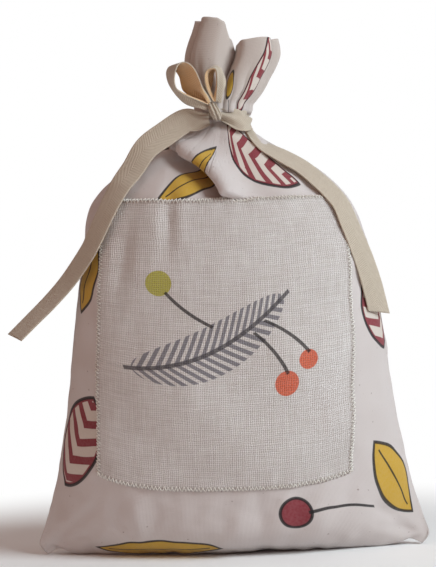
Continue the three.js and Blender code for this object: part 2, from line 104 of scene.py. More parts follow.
def spline(points, share):
    """Places on the smooth line through evenly spaced points, for shares from 0 to 1."""
    points = np.array(points, dtype=float)
    last = len(points) - 1
    place = np.clip(share, 0, 1) * last
    k = np.minimum(place.astype(int), last - 1)
    t = place - k
    if points.ndim > 1:
        t = t[..., None]
    a, b, c, d = (points[np.clip(k + step, 0, last)] for step in (-1, 0, 1, 2))
    return b + t * (c - a + t * (2 * a - 5 * b + 4 * c - d + t * (3 * (b - c) + d - a))) / 2


def eased(table, place):
    """Heights between the points of a table, level at each point."""
    at, value = np.array(table, dtype=float).T
    k = np.clip(np.searchsorted(at, place, side="right") - 1, 0, len(at) - 2)
    share = smooth((place - at[k]) / (at[k + 1] - at[k]))
    return value[k] + (value[k + 1] - value[k]) * share


def ripple(u, v, wavelength, seed, waves=16):
    """A soft uneven field, about -1 to 1, with bumps about a wavelength apart."""
    dice = np.random.default_rng(seed)
    total = 0
    for _ in range(waves):
        way = dice.uniform(0, math.tau)
        pitch = math.tau / (wavelength * dice.uniform(0.75, 1.5))
        total = total + np.sin(pitch * (u * math.cos(way) + v * math.sin(way)) + dice.uniform(0, math.tau))
    return total / math.sqrt(waves * 2)


def crease(x, z, centre, angle, length, width):
    """1 on a short straight line of cloth, falling off softly along it and across it."""
    way = math.radians(angle)
    along = (x - centre[0]) * math.cos(way) + (z - centre[1]) * math.sin(way)
    over = (z - centre[1]) * math.cos(way) - (x - centre[0]) * math.sin(way)
    return np.exp(-((along / length) ** 2) - (over / width) ** 2)


def pleats(turn, face, count, seed):
    """Round ridges with sharp valleys between them, uneven in width, running on from panel to panel."""
    around = turn if face == FRONT else math.pi - turn
    dice = np.random.default_rng(seed)
    shift = sum(dice.uniform(0.2, 0.9) * np.sin(k * around + dice.uniform(0, math.tau)) for k in (1, 2, 3))
    return 1.6 * np.abs(np.sin(count * around / 2 + shift)) - 1


def turn_at(across):
    """The turn round the bag from a panel's middle, for a place across it from seam to seam, -1 to 1."""
    return across * math.pi / 2 - TURN_EASE * np.sin(across * math.pi)


def bag_shape(across, rise, face):
    """The panel below the tie. Rise is 0 at the bottom seam and 1 at the tie."""
    out, up = spline(MIDDLE_SHARES, rise).T
    wide, high = spline(SEAM_SHARES, rise).T
    out, up = out.T * HALF_DEPTH, up.T * SHOULDER
    wide, high = wide.T * HALF_WIDTH, high.T * SHOULDER
    turn = turn_at(across)
    side = np.abs(across)
    low = np.exp(-up / 18)
    depth = np.maximum(np.cos(turn), 0) ** (1 + 0.7 * low)
    height = up + (high - up) * side ** (3 + low)
    lift = 2.4 * np.exp(-(((side - 0.8) / 0.09) ** 2)) * (1 - smooth(rise / 0.2))
    under_tie = SHOULDER - height
    calm = 0.35 + 0.65 * smooth(np.abs(turn) / 1.4) if face == FRONT else 1
    gather = 0.6 * calm * pleats(turn, face, 15, 5) * smooth(1 - under_tie / 16)
    flutes = 0.5 * calm * pleats(turn, face, 7, 8)
    gather = gather + flutes * smooth(1 - under_tie / 48) * smooth(under_tie / 8)
    place = np.sin(turn)
    y = face * ((SEAM_GAP + CLOTH) / 2 + out * depth + gather * np.maximum(np.cos(turn), 0))
    z = np.maximum(height + lift - 0.5, 0) + CLOTH / 2
    x = (wide + gather) * place
    for (at, reach, bulge), side in ((LEFT_SHOULDER, -1), (LEFT_COLLAR, -1), (RIGHT_SHOULDER, 1)):
        x = x + side * bulge * np.exp(-(((z - at) / reach) ** 2)) * smooth(side * place)
    return np.stack([x, y, z], axis=-1)


def ruffle_shape(across, climb, face):
    """The panel above the tie. Climb is 0 at the tie and 1 at the rim."""
    turn = turn_at(across)
    left, right = spline(RUFFLE_LEFT, climb), spline(RUFFLE_RIGHT, climb)
    out = spline(RUFFLE_FRONT if face == FRONT else RUFFLE_BACK, climb)
    middle, half = (right - left) / 2, (right + left) / 2
    place = np.sin(turn)
    open_up = smooth(climb * 1.2)
    gather = 0.6 * pleats(turn, face, 15, 5) * (1 - open_up) + 1.3 * pleats(turn, face, 6, 3) * open_up
    gather = gather + 0.3 * pleats(turn, face, 25, 12) * np.exp(-(((climb - 0.2) / 0.25) ** 2))
    if face == FRONT:
        gather = gather - 8.5 * np.exp(-(((place + 0.1) / 0.16) ** 2)) * smooth(climb * 1.6 - 0.2)
    rim = eased(FRONT_RIM if face == FRONT else BACK_RIM, place)
    rim = rim + 0.4 * pleats(turn, face, 6, 3)
    hang = np.exp(-(((climb - 0.045) / 0.035) ** 2)) * smooth(climb * 60)
    x = middle + (half + gather + 1.6 * hang) * place
    y = face * ((SEAM_GAP + CLOTH) / 2 + (out + gather + 2.6 * hang) * np.maximum(np.cos(turn), 0))
    z = NECK_TOP - 0.25 + climb * rim - 2.4 * hang
    return np.stack([x, y, z], axis=-1)


def cloth_shape(across, level, face):
    """The panel before its small wrinkles.

    Level is 0 at the bottom seam, 1 to 1.1 under the tie and 2 at the rim.
    """
    across, level = np.broadcast_arrays(np.asarray(across, float), np.asarray(level, float))
    bag = bag_shape(across, np.minimum(level, 1), face)
    ruffle = ruffle_shape(across, np.clip((level - 1.1) / 0.9, 0, 1), face)
    share = smooth((level - 1) / 0.1)[..., None]
    return bag + (ruffle - bag) * share


def facing(shape, across, level, face):
    """The cloth's outward direction, from the shape's own slopes."""
    step = 1e-3
    inward = np.where(np.asarray(across) > 0, -step, step)
    down = np.where(np.asarray(level) > 1, -step, step)
    here = shape(across, level, face)
    right = (shape(across + inward, level, face) - here) / inward[..., None]
    up = (shape(across, level + down, face) - here) / down[..., None]
    normal = np.cross(right, up) * -face
    return normal / np.maximum(np.linalg.norm(normal, axis=-1, keepdims=True), 1e-9)


def patch_place(aside, climb):
    """The place on the bag of a point on the patch, both given from -1 to 1."""
    share = (climb + 1) / 2
    left, right = spline(PATCH_LEFT, share), spline(PATCH_RIGHT, share)
    bow = PATCH_BOW[0] + (PATCH_BOW[1] - PATCH_BOW[0]) * share
    level = PATCH_RISE[0] + (PATCH_RISE[1] - PATCH_RISE[0]) * share + bow * aside ** 4
    return (left + right) / 2 + (right - left) / 2 * aside, level


def fold_over(x, z):
    """The fold beside the tape: how far the cloth moves out, and how far it laps down over the hollow."""
    line = spline(FOLD_LINE, np.linspace(0, 1, 43))
    best = np.full(x.shape, np.inf)
    signed = np.zeros(x.shape)
    place = np.zeros(x.shape)
    way = np.zeros(x.shape + (2,))
    for k in range(len(line) - 1):
        start, run = line[k], line[k + 1] - line[k]
        share = np.clip(((x - start[0]) * run[0] + (z - start[1]) * run[1]) / (run @ run), 0, 1)
        dx, dz = x - start[0] - share * run[0], z - start[1] - share * run[1]
        far = np.hypot(dx, dz)
        near = far < best
        cross = run[0] * dz - run[1] * dx
        best = np.where(near, far, best)
        signed = np.where(near, np.copysign(far, cross), signed)
        place = np.where(near, (k + share) / (len(line) - 1), place)
        normal = np.array([-run[1], run[0]]) / np.hypot(*run)
        way = np.where(near[..., None], normal, way)
    strength = smooth(place / 0.3) * smooth((z - 138) / 4)
    over = smooth((signed + 1) / 2)
    lap = FOLD_LAP * over * np.exp(-((np.maximum(signed, 0) / 11) ** 2))
    lip = FOLD_LIP * over * np.exp(-(((signed - 3) / 3.8) ** 2)) - 0.8 * np.exp(-(((signed - 10.5) / 4) ** 2))
    hollow = FOLD_HOLLOW * (1 - over) * np.exp(-((np.minimum(signed, 0) / 8) ** 2))
    return (lip - hollow) * strength, -way * (lap * strength)[..., None]


# Soft creases in the front: centre, angle, length, width and height.
CREASES = [
    ((-22, 131), 88, 12, 3.2, -1.1), ((-17.5, 131), 88, 12, 3, 0.5), ((-27, 130), 84, 13, 3.4, 0.5),
    ((-40, 117), 80, 13, 3.6, -0.9), ((-46, 112), 84, 16, 4, 0.5), ((-34, 120), 82, 12, 4, 0.35),
    ((30, 150), -52, 16, 4, -0.5), ((40, 128), -72, 16, 5, -0.45), ((-57, 60), 86, 26, 5, -0.7),
    ((57, 52), 96, 24, 5, -0.6), ((18, 163), -80, 7, 2.4, -0.6), ((10, 160), -86, 9, 2.2, -0.6),
    ((-62, 14), 40, 12, 2.6, -0.9), ((62, 13), 140, 12, 2.6, -1), ((66, 7), 165, 9, 2, -0.8),
    ((-66, 6), 18, 9, 2, -0.7), ((-30, 18), 95, 9, 3.6, -0.9), ((24, 17), 80, 10, 4, -0.9),
    ((0, 15), 90, 8, 5, 0.5), ((-46, 17), 104, 10, 3.4, -1), ((-38, 16), 98, 10, 3, 0.7),
    ((44, 20), 66, 13, 4, -0.8), ((10, 17), 96, 9, 3, -0.6),
]


def wrinkles(x, z, across, level, face):
    """How far the cloth stands out or in, over and above the bag's shape."""
    side = (1 - np.abs(across)) * HALF_WIDTH
    loose = smooth(side / 12) * smooth(level / 0.12) * (1 - smooth((level - 0.86) / 0.12))
    climb = (level - PATCH_RISE[0]) / (PATCH_RISE[1] - PATCH_RISE[0])
    held = smooth((across - spline(PATCH_LEFT, climb)) / 0.04 + 0.5)
    held = held * smooth((spline(PATCH_RIGHT, climb) - across) / 0.04 + 0.5)
    held = held * smooth(climb / 0.07 + 0.5) * smooth((1 - climb) / 0.07 + 0.5)
    free = 1 - 0.65 * held if face == FRONT else 1
    seed = 20 if face == FRONT else 60
    out = loose * (0.75 * ripple(x, z, 34, seed) + free * 0.36 * ripple(x, z, 15, seed + 1))
    out = out + loose * free * 0.17 * ripple(x, z, 7.5, seed + 2)
    along_side = ripple(z, across * 9, 10, seed + 3)
    out = out + 0.55 * along_side * np.exp(-side / 7) * smooth(side / 3) * smooth(level / 0.15)
    above_seam = np.exp(-((level - 0.1) / 0.09) ** 2)
    out = out + 0.42 * ripple(x, across, 9.5, seed + 4) * above_seam * smooth(side / 10)
    if face == FRONT:
        for centre, angle, length, width, height in CREASES:
            out = out + height * crease(x, z, centre, angle, length, width)
        over_patch = np.exp(-((level - PATCH_RISE[1]) / 0.02) ** 2)
        under_patch = np.exp(-((level - PATCH_RISE[0]) / 0.025) ** 2)
        out = out + 0.2 * ripple(x, z * 0.2, 8, seed + 5) * (over_patch + under_patch)
    return out * (level < 1)


def skin(across, level, face):
    """The middle of the cloth's thickness, wrinkles and all."""
    base = cloth_shape(across, level, face)
    x, z = base[..., 0], base[..., 2]
    normal = facing(cloth_shape, across, level, face)
    out = wrinkles(x, z, across, level, face)
    moved = base + normal * out[..., None]
    if face == FRONT:
        fold_out, lap = fold_over(x, z)
        fold_out, lap = fold_out * (level < 1.05), lap * (np.asarray(level) < 1.05)[..., None]
        moved = moved + normal * fold_out[..., None]
        moved = moved + np.stack([lap[..., 0], np.zeros(x.shape), lap[..., 1]], axis=-1)
    edge = np.clip((np.abs(across) - 0.985) / 0.015, 0, 1) ** 2
    moved[..., 0] -= np.sign(across) * edge * 0.7 * (level < 1.9)
    moved[..., 1] -= face * edge * 0.12
    moved[..., 2] = np.maximum(moved[..., 2], CLOTH / 2)
    return moved


def lifted(across, level, face, height):
    """Points a height off the cloth's middle, outwards."""
    return skin(across, level, face) + facing(skin, across, level, face) * np.asarray(height)[..., None]


def closed_mesh(name, points, faces, uv=None):
    """A new object from points in millimetres, smooth and facing out."""
    mesh = bpy.data.meshes.new(name)
    mesh.from_pydata((points * MM + AXIS).tolist(), [], faces)
    mesh.polygons.foreach_set("use_smooth", [True] * len(mesh.polygons))
    if uv is not None:
        layer = mesh.uv_layers.new(name="cloth")
        corner = np.empty(len(mesh.loops), dtype=np.int32)
        mesh.loops.foreach_get("vertex_index", corner)
        layer.data.foreach_set("uv", uv[corner].astype(np.float32).ravel())
    obj = bpy.data.objects.new(name, mesh)
    bpy.context.collection.objects.link(obj)
    return obj


def thick_sheet(name, middle, thickness, normal, uv, under=0):
    """A closed sheet on both sides of a grid of points, walled round its edge.

    Its underside's uv is moved up by under, so that a finish can tell the two faces apart.
    """
    if normal is None:
        down, along = np.gradient(middle, axis=0), np.gradient(middle, axis=1)
        normal = np.cross(along, down)
        normal /= np.maximum(np.linalg.norm(normal, axis=-1, keepdims=True), 1e-9)
    rows, columns = middle.shape[:2]
    count = rows * columns
    half = thickness / 2
    outer, inner = middle + normal * half, middle - normal * half
    points = np.concatenate([outer.reshape(-1, 3), inner.reshape(-1, 3)])
    index = np.arange(count).reshape(rows, columns)
    quads = np.stack([index[:-1, :-1], index[:-1, 1:], index[1:, 1:], index[1:, :-1]], axis=-1).reshape(-1, 4)
    rim = np.concatenate([index[0, :-1], index[:-1, -1], index[-1, :0:-1], index[:0:-1, 0]])
    ahead = np.roll(rim, -1)
    walls = np.stack([ahead, rim, rim + count, ahead + count], axis=-1)
    faces = np.concatenate([quads, quads[:, ::-1] + count, walls])
    both = np.concatenate([uv.reshape(-1, 2), uv.reshape(-1, 2) + (0, under)])
    return closed_mesh(name, points, faces.tolist(), both)


def spread(*stretches):
    """Even steps in each stretch, given as start, end and count, with the last end."""
    parts = [np.linspace(a, b, n, endpoint=False) for a, b, n in stretches]
    return np.concatenate([*parts, [stretches[-1][1]]])


# The cloth's mesh, across from seam to seam and up from the bottom seam, finer where it folds and gathers.
COLUMNS = spread((-1, -0.5, 34), (-0.5, 0.22, 88), (0.22, 1, 50))
LEVELS = spread((0, 0.7, 84), (0.7, 0.9, 62), (0.9, 1, 22), (1, 1.1, 6), (1.1, 2, 46))
# Where on the same cloth the back panel was cut, from where the front was.
BACK_SHIFT = (47, 86)


def panel(name, face):
    """One side of the bag, with its height on the flat cloth measured up the middle of the back."""
    across, level = np.meshgrid(COLUMNS, LEVELS)
    if face == BACK:
        across = -across
    middle = skin(across, level, face)
    normal = facing(skin, across, level, face)
    run = np.linalg.norm(np.diff(cloth_shape(0 * LEVELS, LEVELS, BACK), axis=0), axis=-1)
    height = np.concatenate([[0], np.cumsum(run)])[:, None] + 0 * across
    shift = (0, 0) if face == FRONT else BACK_SHIFT
    flat = np.stack([across * FLAT_PANEL[0] / 2 + shift[0], height + shift[1]], axis=-1)
    made = thick_sheet(name, middle, CLOTH, normal, flat)
    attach(made, "sachet")
    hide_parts(name)
    return made


class Wire:
    """A value or vector in a finish's nodes that can be written in a sum."""

    def __init__(self, finish, socket):
        self.finish = finish
        self.socket = socket

    def __add__(self, other):
        return self.finish.maths("ADD", self, other)

    def __sub__(self, other):
        return self.finish.maths("SUBTRACT", self, other)

    def __rsub__(self, other):
        return self.finish.maths("SUBTRACT", other, self)

    def __mul__(self, other):
        return self.finish.maths("MULTIPLY", self, other)

    def __truediv__(self, other):
        return self.finish.maths("DIVIDE", self, other)

    def __pow__(self, other):
        return self.finish.maths("POWER", self, other)

    def __abs__(self):
        return self.finish.maths("ABSOLUTE", self)

    __radd__ = __add__
    __rmul__ = __mul__


class Finish:
    """A material while it is made."""

    def __init__(self, name, roughness, sheen=0.0):
        self.material = bpy.data.materials.new(name)
        self.material.use_nodes = True
        self.tree = self.material.node_tree
        self.shader = self.tree.nodes["Principled BSDF"]
        self.shader.inputs["Roughness"].default_value = roughness
        self.shader.inputs["Sheen Weight"].default_value = sheen
        self.shader.inputs["Sheen Roughness"].default_value = 0.5
        self.shader.inputs["Specular IOR Level"].default_value = 0.2

    def node(self, kind, settings=None, inputs=None, output=0):
        made = self.tree.nodes.new(kind)
        for key, value in (settings or {}).items():
            setattr(made, key, value)
        for key, value in (inputs or {}).items():
            if isinstance(value, Wire):
                self.tree.links.new(value.socket, made.inputs[key])
            else:
                made.inputs[key].default_value = value
        return Wire(self, made.outputs[output])

    def maths(self, operation, *values):
        return self.node("ShaderNodeMath", {"operation": operation}, dict(enumerate(values)))

    def sine(self, value):
        return self.maths("SINE", value)

    def larger(self, a, b):
        return self.maths("MAXIMUM", a, b)

    def fraction(self, value):
        return self.maths("FRACT", value)

    def step(self, value, low, high):
        """0 at low and 1 at high, smooth between."""
        return self.node(
            "ShaderNodeMapRange", {"interpolation_type": "SMOOTHSTEP"}, {"Value": value, 1: low, 2: high}
        )

    def mix(self, factor, a, b):
        return self.node(
            "ShaderNodeMix", {"data_type": "RGBA"}, {0: factor, 6: colour(a), 7: colour(b)}, output=2
        )

    def noise(self, place, scale, detail=2.0, rough=0.5):
        inputs = {"Vector": place, "Scale": scale, "Detail": detail, "Roughness": rough}
        return self.node("ShaderNodeTexNoise", None, inputs)

    def cloth(self):
        """The piece's own flat coordinates, in millimetres, across and along."""
        place = self.node("ShaderNodeUVMap", {"uv_map": "cloth"})
        return (place, *self.parts(place)[:2])

    def parts(self, vector):
        node = self.tree.nodes.new("ShaderNodeSeparateXYZ")
        self.tree.links.new(vector.socket, node.inputs[0])
        return [Wire(self, socket) for socket in node.outputs]

    def joined(self, x, y, z=0.0):
        return self.node("ShaderNodeCombineXYZ", None, {0: x, 1: y, 2: z})

    def object_place(self):
        return self.node("ShaderNodeTexCoord", None, None, output=3)

    def feed(self, socket, wire):
        self.tree.links.new(wire.socket, self.shader.inputs[socket])

    def bump(self, height, strength, distance):
        inputs = {"Height": height, "Strength": strength, "Distance": distance}
        self.feed("Normal", self.node("ShaderNodeBump", None, inputs))


def colour(value):
    """A colour written as six hexadecimal digits, as the shader's linear values, or a wire as it is."""
    if isinstance(value, Wire):
        return value
    parts = [int(value[k:k + 2], 16) / 255 for k in (0, 2, 4)]
    return (*[p / 12.92 if p <= 0.04045 else ((p + 0.055) / 1.055) ** 2.4 for p in parts], 1.0)


def plain_weave(finish, u, v, pitch):
    """The height of a plain weave, 0 to 1: threads across and along that pass over and under in turn."""
    a, b = u * (math.tau / pitch), v * (math.tau / pitch)
    over = finish.sine(a * 0.5) * finish.sine(b * 0.5)
    up = finish.maths("COSINE", a) * -0.5 + 0.5
    along = finish.maths("COSINE", b) * -0.5 + 0.5
    return up * (over * 0.5 + 0.5) + along * (over * -0.5 + 0.5)


class Motif:
    """One printed shape's own coordinates on the cloth."""

    def __init__(self, finish, u, v, centre, angle):
        way = math.radians(angle)
        du, dv = u - centre[0], v - centre[1]
        self.finish = finish
        self.x = du * math.cos(way) + dv * math.sin(way)
        self.y = dv * math.cos(way) - du * math.sin(way)

    def leaf(self, length, width):
        """Distance outside a pointed oval."""
        reach = (length ** 2 + width ** 2) / (4 * width)
        y = abs(self.y) + (reach - width / 2)
        return (self.x * self.x + y * y) ** 0.5 - reach

    def disc(self, radius):
        return (self.x * self.x + self.y * self.y) ** 0.5 - radius

    def stalk(self, bend, length):
        """Distance from a bent line that starts at the motif's centre and runs along its x."""
        off = abs(self.y - self.x * self.x * bend)
        ends = self.finish.larger(self.x - length, self.x * -1)
        return self.finish.larger(off, ends)


def inked(finish, distance, soft=0.16):
    """1 inside a shape and 0 outside it, with an edge as soft as ink on cloth."""
    return finish.step(distance, soft, -soft)


DARK_RED = "83182a"
MUSTARD = "c79c22"
INK = "211f22"
CREAM = "d8cdc3"
# The print's motifs on the flat cloth, in millimetres from the middle of the panel and up from its bottom.
REPEAT = (164, 232)
STRIPED_LEAVES = [
    ((32, 177), -38, (46, 24)), ((-63, 56), 72, (42, 22)),
    ((70, 104), 96, (38, 20)), ((44, 215), 52, (36, 15)),
]
PLAIN_LEAVES = [
    ((-20, 170), 38, (42, 16)), ((63, 38), 112, (38, 16)),
    ((-67, 122), 84, (34, 14)), ((-26, 17), 8, (42, 15)),
]
BERRIES = [((55, 143), 6, DARK_RED), ((22, 36), 5.5, DARK_RED), ((6, 212), 5, MUSTARD)]
STALKS = [((58, 148), 62, 0.02, 20), ((27, 36), 8, -0.012, 24), ((10, 206), -60, 0.014, 20)]
# The threads' pitch, and where on the flat cloth the painted warm shade of the gathered ruffle starts and is
# full.
COTTON_PITCH = 0.46
RUFFLE_SHADE = (196, 212)


def printed_cotton():
    finish = Finish("printed cotton", 0.92, 0.2)
    place, u, v = finish.cloth()
    wander = finish.noise(place, 0.045, 1.0) * 3 - 1.5
    wander_up = finish.noise(place, 0.052, 1.0) * -3 + 1.5
    tile_u = finish.maths("FLOORED_MODULO", u + wander + REPEAT[0] / 2, REPEAT[0]) - REPEAT[0] / 2
    tile_v = finish.maths("FLOORED_MODULO", v + wander_up, REPEAT[1])
    blot = finish.noise(place, 0.9, 3.0)
    cloth = finish.mix(finish.noise(place, 0.02, 3.0), "cabfbb", "d6ccca")
    cloth = finish.mix(finish.step(blot, 0.62, 0.8) * 0.25, cloth, "b5a59e")
    cloth = finish.mix(finish.step(finish.noise(place, 0.75, 0.0), 0.8, 0.86) * 0.5, cloth, "7a5f52")
    # Painted shade: the gathered ruffle above the tie is tinted warm brown for the shade among its folds.
    cloth = finish.mix(finish.step(v, *RUFFLE_SHADE) * 0.3, cloth, "a58c70")
    inks = cloth

    def put(mask, tone):
        nonlocal inks
        inks = finish.mix(mask * (blot * 0.14 + 0.86), inks, tone)

    for centre, angle, size in STRIPED_LEAVES:
        leaf = Motif(finish, tile_u, tile_v, centre, angle)
        shape = leaf.leaf(*size)
        veins = finish.fraction((leaf.x - abs(leaf.y) * 0.8) / 8.5)
        put(inked(finish, shape), DARK_RED)
        put(inked(finish, shape + 1.2) * finish.step(abs(veins - 0.5), 0.3, 0.26), CREAM)
        put(inked(finish, abs(shape) - 0.6), INK)
    for centre, angle, size in PLAIN_LEAVES:
        leaf = Motif(finish, tile_u, tile_v, centre, angle)
        shape = leaf.leaf(*size)
        put(inked(finish, shape), MUSTARD)
        put(inked(finish, abs(shape) - 0.6), INK)
        put(inked(finish, finish.larger(abs(leaf.y) - 0.4, abs(leaf.x) - size[0] / 2 + 4)), INK)
    for centre, radius, tone in BERRIES:
        berry = Motif(finish, tile_u, tile_v, centre, 0).disc(radius)
        put(inked(finish, berry), tone)
        put(inked(finish, abs(berry) - 0.55), INK)
    for centre, angle, bend, length in STALKS:
        stalk = Motif(finish, tile_u, tile_v, centre, angle).stalk(bend, length)
        put(inked(finish, stalk - 0.6), INK)
    weave = plain_weave(finish, u, v, COTTON_PITCH)
    slub = finish.noise(finish.joined(u * 0.35, v * 2.6), 1.0, 2.0)
    slub = slub + finish.noise(finish.joined(u * 2.6, v * 0.35), 1.0, 2.0)
    # Painted shade: the cloth is darkened between the threads, where the weave is low.
    finish.feed("Base Color", finish.mix(weave * -0.2 + 0.14, inks, "6d6058"))
    finish.bump(weave * 0.5 + slub * 0.35, 0.35, 0.0003)
    return finish.material


front_panel = panel("front_panel", FRONT)
back_panel = panel("back_panel", BACK)
cotton = printed_cotton()
front_panel.data.materials.append(cotton)
back_panel.data.materials.append(cotton)

# The patch: a rectangle of coarse natural canvas, printed with a plain fir sprig and berries. It is sewn on
# the front by its edges, and bends with the bag.
PATCH = 0.6
PATCH_FLAT = (105, 118)
PATCH_SEAT = CLOTH / 2 + 0.12
CANVAS_PITCH = 0.85
ORANGE = "d9531f"
YELLOW_GREEN = "b4ab2e"
# The print, in millimetres from the patch's middle: the sprig's middle and angle, half its length and half
# its width, then each berry's centre and radius, and each stalk's start, angle, bend and length.
SPRIG = ((-4, -4), 24, 33, 9.5)
SPRIG_BERRIES = [((25, -17), 4.6, ORANGE), ((33, -9), 3.6, ORANGE), ((-27, 22), 5.2, YELLOW_GREEN)]
SPRIG_STALKS = [((25, -13), 118, 0.012, 19), ((33, -6), 130, 0.012, 20), ((-24, 18), -48, 0.01, 22)]


def canvas_print():
    finish = Finish("natural canvas", 0.95, 0.2)
    place, u, v = finish.cloth()
    blot = finish.noise(place, 1.1, 3.0)
    drift = finish.noise(place, 0.22, 2.0) * 1.2
    weave = plain_weave(finish, u + drift, v - drift, CANVAS_PITCH)
    thick = finish.noise(finish.joined(u * 0.08, v * 1.18), 1.0, 1.0)
    thick = thick + finish.noise(finish.joined(u * 1.18, v * 0.08), 1.0, 1.0)
    canvas = finish.mix(finish.noise(place, 0.03, 2.0), "d2c8c4", "dfd8d5")
    canvas = finish.mix(finish.step(thick, 0.95, 1.3) * 0.25, canvas, "b9aba3")
    canvas = finish.mix(finish.step(thick, 1.0, 0.7) * 0.3, canvas, "ece7e4")
    # Painted shade: along its edge, where the stitches press the canvas down, it is darkened.
    painted_edge_shade = finish.larger(abs(u) - PATCH_FLAT[0] / 2, abs(v) - PATCH_FLAT[1] / 2)
    canvas = finish.mix(finish.step(painted_edge_shade, -2.2, -1.0) * 0.35, canvas, "8f7b70")
    inks = canvas

    def put(mask, tone):
        nonlocal inks
        inks = finish.mix(mask * (blot * 0.25 + 0.75), inks, tone)

    centre, angle, half_long, half_wide = SPRIG
    sprig = Motif(finish, u, v, centre, angle)
    spine = sprig.y - sprig.x * sprig.x * 0.006
    taper = 1 - (sprig.x / half_long) ** 2
    needles = finish.fraction((sprig.x - abs(spine) * 0.9) / 3.6)
    needles = finish.step(abs(needles - 0.5), 0.3, 0.24)
    outline = inked(finish, abs(spine) - (finish.larger(taper, 0.0) ** 0.5) * half_wide)
    put(needles * outline, "75727a")
    put(inked(finish, finish.larger(abs(spine) - 0.8, abs(sprig.x) - (half_long + 3))), "4b484d")
    for centre, radius, tone in SPRIG_BERRIES:
        berry = Motif(finish, u, v, centre, 0).disc(radius)
        put(inked(finish, berry), tone)
    for centre, angle, bend, length in SPRIG_STALKS:
        stalk = Motif(finish, u, v, centre, angle).stalk(bend, length)
        put(inked(finish, stalk - 0.65), INK)
    # Painted shade: the canvas is darkened between the threads, where the weave is low.
    finish.feed("Base Color", finish.mix(weave * -0.5 + 0.36, inks, "7b6d66"))
    finish.bump(weave + thick * 0.3, 0.6, 0.0005)
    return finish.material


aside, climb = np.meshgrid(np.linspace(-1, 1, 126), np.linspace(-1, 1, 136))
across, level = patch_place(aside, climb)
patch_middle = lifted(across, level, FRONT, np.full(across.shape, PATCH_SEAT + PATCH / 2))
patch_flat = np.stack([aside * PATCH_FLAT[0] / 2, climb * PATCH_FLAT[1] / 2], axis=-1)
patch = thick_sheet("patch", patch_middle, PATCH, facing(skin, across, level, FRONT), patch_flat)
patch.data.materials.append(canvas_print())
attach(patch, "sachet")
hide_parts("patch")

# The zigzag: one pale cotton thread, sewn over the patch's cut edge all the way round. Its stitches go from
# the bag's cloth beside the patch onto the canvas and back, a little unevenly.
ZIGZAG_PITCH = 1.55
ZIGZAG_WIDTH = 2.2
THREAD = 0.4
THREAD_RISE = PATCH + 0.3


def zigzag_path():
    """The needle's holes on the bag and on the patch in turn, with the thread high between them."""
    wide, tall = PATCH_FLAT
    corners = [(-1, -1), (1, -1), (1, 1), (-1, 1)]
    sides = zip(corners, corners[1:] + corners[:1], (wide, tall, wide, tall))
    places = []
    for start, end, length in sides:
        count = int(length / ZIGZAG_PITCH)
        inward = (-(end[1] - start[1]) / 2, (end[0] - start[0]) / 2)
        for k in range(count):
            uneven = 0.09 * math.sin(2.3 * k) + 0.07 * math.sin(0.7 * k)
            stitch = ((0, -0.3, 0.15), (0.2, 0.1, 1.1), (0.5, 0.7 + uneven, 0.9), (0.8, 0.1, 1.1))
            for share, step, height in stitch:
                s = (k + share + uneven) / count
                x = (start[0] + (end[0] - start[0]) * s) * wide / 2 + inward[0] * step * ZIGZAG_WIDTH
                z = (start[1] + (end[1] - start[1]) * s) * tall / 2 + inward[1] * step * ZIGZAG_WIDTH
                places.append((x, z, height))
    return np.array(places)


zigzag = zigzag_path()
across, level = patch_place(zigzag[:, 0] / PATCH_FLAT[0] * 2, zigzag[:, 1] / PATCH_FLAT[1] * 2)
thread_points = lifted(across, level, FRONT, CLOTH / 2 + zigzag[:, 2] * THREAD_RISE)


def thread_tube(name, points, diameter):
    """A ring of thread through points in millimetres, as a mesh."""
    line = bpy.data.curves.new(name, "CURVE")
    line.dimensions = "3D"
    line.bevel_depth = diameter / 2 * MM
    line.bevel_resolution = 1
    run = line.splines.new("POLY")
    run.points.add(len(points) - 1)
    run.points.foreach_set("co", np.hstack([points * MM + AXIS, np.ones((len(points), 1))]).ravel())
    run.use_cyclic_u = True
    tube = bpy.data.objects.new(name, line)
    bpy.context.collection.objects.link(tube)
    bpy.ops.object.select_all(action="DESELECT")
    tube.select_set(True)
    bpy.context.view_layer.objects.active = tube
    bpy.ops.object.convert(target="MESH")
    bpy.ops.object.shade_smooth()
    return bpy.context.view_layer.objects.active


def thread_finish(name, light, dark):
    finish = Finish(name, 0.7, 0.3)
    place = finish.object_place()
    strand = finish.noise(place, 2600, 2.0)
    finish.feed("Base Color", finish.mix(strand, dark, light))
    finish.bump(strand, 0.3, 0.0001)
    return finish.material


zigzag_thread = thread_tube("zigzag_thread", thread_points, THREAD)
zigzag_thread.data.materials.append(thread_finish("cotton thread", "f8f4ee", "e4dcd2"))
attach(zigzag_thread, "sachet")

# The filling: loose curls of pine wood, which give the scent. They were poured in through the neck and have
# settled into one soft lump, clear of the cloth and of the fold that hangs in over them.
FILL_GAP = 3
FOLD_ROOM = 1.15
FILL_BOTTOM = 0.07
FILL_RISE = 0.8
# How much of each panel's width it reaches, by height in the lump.
FILL_REACH = [(0, 0.5), (0.15, 0.74), (0.4, 0.84), (0.7, 0.82), (1, 0.62)]


